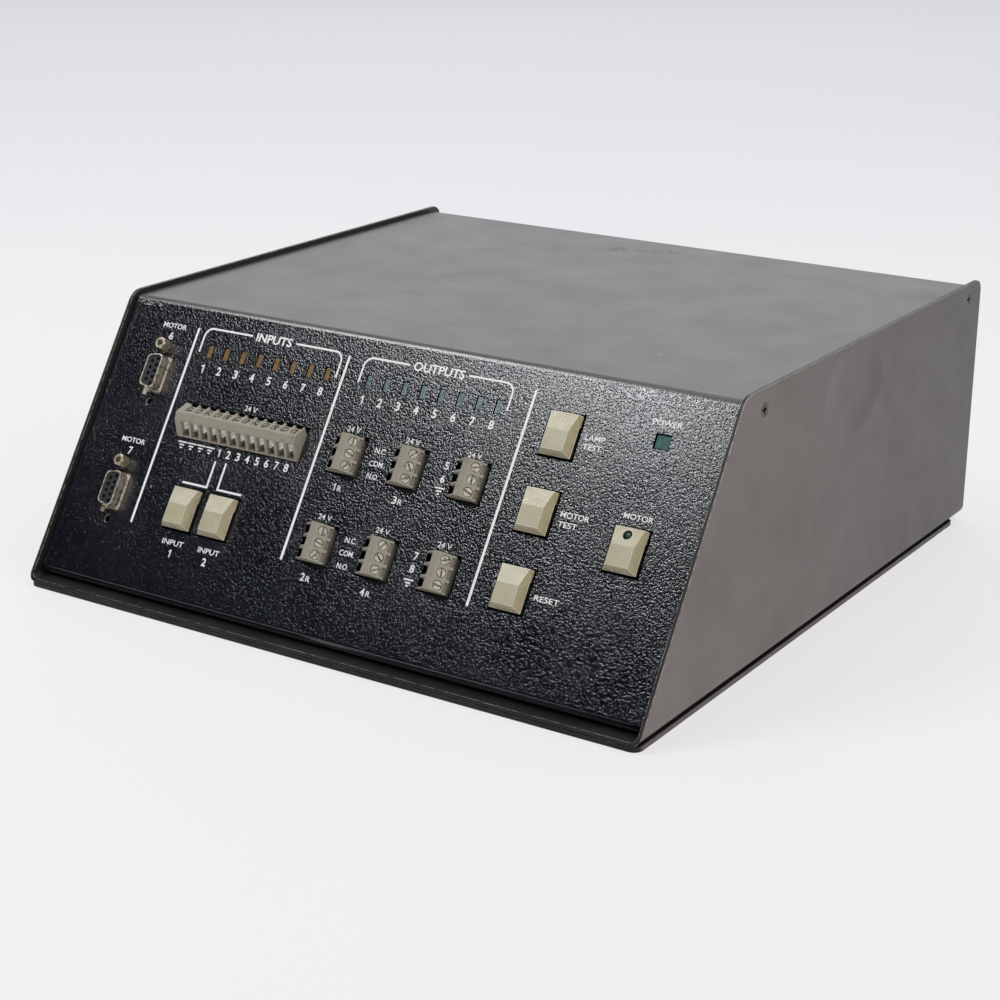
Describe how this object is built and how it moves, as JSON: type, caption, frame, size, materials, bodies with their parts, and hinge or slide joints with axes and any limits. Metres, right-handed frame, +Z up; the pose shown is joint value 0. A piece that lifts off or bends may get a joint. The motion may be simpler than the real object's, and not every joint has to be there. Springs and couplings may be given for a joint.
{
  "type": "robot controller",
  "caption": "Desktop robot controller: sloped-front sheet-metal box with screw terminal blocks, key caps, motor connectors and lamps.",
  "frame": {"origin": "middle of the box's footprint, on the base plate's underside", "axes": "+Z up, +Y towards the back, so the sloping panel faces -Y; +X to the right of someone facing the panel"},
  "size_m": [0.3, 0.3084, 0.115],
  "materials": {
    "shell_paint": "smooth satin dark warm grey",
    "base_paint": "matt black",
    "cover_paint": "wrinkled black enamel",
    "rear_paint": "satin black",
    "screw_steel": "zinc plated",
    "terminal_plastic": "aged grey-beige nylon",
    "clamp_metal": "plated",
    "connector_metal": "dull tin plate",
    "connector_plastic": "satin",
    "contact_brass": "satin",
    "amber_lens": "translucent",
    "green_lens": "translucent",
    "power_lens": "translucent",
    "key_lamp": "translucent",
    "key_plastic": "aged cream",
    "black_plastic": "satin",
    "circuit_board": "solder mask",
    "chip_plastic": "matt",
    "relay_plastic": "moulded",
    "capacitor_sleeve": "shrink sleeve",
    "core_steel": "varnished laminations",
    "copper_winding": "taped winding",
    "sink_aluminium": "black anodised",
    "ribbon_plastic": "vinyl",
    "rocker_plastic": "moulded"
  },
  "bodies": {
    "case": {"base_shell": "shell_paint", "base_plate": "base_paint", "base_plate_screws": "screw_steel", "front_top_cover": "cover_paint", "cover_screws": "screw_steel", "rear_panel": "rear_paint", "rear_panel_screws": "screw_steel", "input_terminal_block": "terminal_plastic", "input_terminal_screws": "screw_steel", "input_terminal_clamps": "clamp_metal", "relay_block_1": "terminal_plastic", "relay_block_2": "terminal_plastic", "relay_block_3": "terminal_plastic", "relay_block_4": "terminal_plastic", "transistor_block_56": "terminal_plastic", "transistor_block_78": "terminal_plastic", "output_terminal_screws": "screw_steel", "output_terminal_clamps": "clamp_metal", "motor_6_shell": "connector_metal", "motor_7_shell": "connector_metal", "motor_6_insert": "connector_plastic", "motor_7_insert": "connector_plastic", "motor_contacts": "contact_brass", "motor_jack_screws": "connector_metal", "input_lamps": "amber_lens", "output_lamps": "green_lens", "power_lamp": "power_lens", "motor_key_lamp": "key_lamp", "key_switches": "black_plastic", "front_board": "circuit_board", "front_board_spacers": "screw_steel", "front_board_screws": "screw_steel", "main_board": "circuit_board", "main_board_standoffs": "contact_brass", "main_board_screws": "screw_steel", "logic_chips": "chip_plastic", "output_relays": "relay_plastic", "filter_capacitors": "capacitor_sleeve", "transformer_core": "core_steel", "transformer_windings": "copper_winding", "transformer_bolts": "screw_steel", "heat_sink": "sink_aluminium", "power_transistors": "chip_plastic", "ribbon_cable": "ribbon_plastic", "mains_inlet": "black_plastic", "mains_pins": "clamp_metal", "fuse_holder": "black_plastic", "power_switch_body": "black_plastic", "robot_connector_shell": "connector_metal", "robot_connector_insert": "connector_plastic", "serial_connector_shell": "connector_metal", "serial_connector_insert": "connector_plastic"},
    "input_1_key": {"input_1_cap": "key_plastic"},
    "input_2_key": {"input_2_cap": "key_plastic"},
    "lamp_test_key": {"lamp_test_cap": "key_plastic"},
    "motor_test_key": {"motor_test_cap": "key_plastic"},
    "reset_key": {"reset_cap": "key_plastic"},
    "motor_key": {"motor_cap": "key_plastic"},
    "rocker": {"power_rocker": "rocker_plastic"},
    "fuse_cap": {"fuse_carrier": "black_plastic"}
  },
  "joints": [
    {"name": "input_1_press", "type": "hinge", "parent": "case", "child": "input_1_key", "pos_m": [-0.0844, -0.12321, 0.04275], "axis": [1, 0, 0], "range_deg": [0, 4.5], "stiffness_Nm_per_rad": 0.15, "springref_deg": -4.58},
    {"name": "input_2_press", "type": "hinge", "parent": "case", "child": "input_2_key", "pos_m": [-0.0652, -0.12321, 0.04275], "axis": [1, 0, 0], "range_deg": [0, 4.5], "stiffness_Nm_per_rad": 0.15, "springref_deg": -4.58},
    {"name": "lamp_test_press", "type": "hinge", "parent": "case", "child": "lamp_test_key", "pos_m": [0.0787, -0.08913, 0.09479], "axis": [1, 0, 0], "range_deg": [0, 4.5], "stiffness_Nm_per_rad": 0.15, "springref_deg": -4.58},
    {"name": "motor_test_press", "type": "hinge", "parent": "case", "child": "motor_test_key", "pos_m": [0.0787, -0.10617, 0.06877], "axis": [1, 0, 0], "range_deg": [0, 4.5], "stiffness_Nm_per_rad": 0.15, "springref_deg": -4.58},
    {"name": "reset_press", "type": "hinge", "parent": "case", "child": "reset_key", "pos_m": [0.0787, -0.12321, 0.04275], "axis": [1, 0, 0], "range_deg": [0, 4.5], "stiffness_Nm_per_rad": 0.15, "springref_deg": -4.58},
    {"name": "motor_press", "type": "hinge", "parent": "case", "child": "motor_key", "pos_m": [0.1204, -0.11023, 0.06258], "axis": [1, 0, 0], "range_deg": [0, 4.5], "stiffness_Nm_per_rad": 0.15, "springref_deg": -4.58},
    {"name": "power_switch_rock", "type": "hinge", "parent": "case", "child": "rocker", "pos_m": [0.112, 0.1438, 0.074], "axis": [1, 0, 0], "range_deg": [0, 20]},
    {"name": "fuse_cap_turn", "type": "hinge", "parent": "case", "child": "fuse_cap", "pos_m": [0.076, 0.1468, 0.036], "axis": [0, 1, 0], "range_deg": [0, 45]}
  ]
}
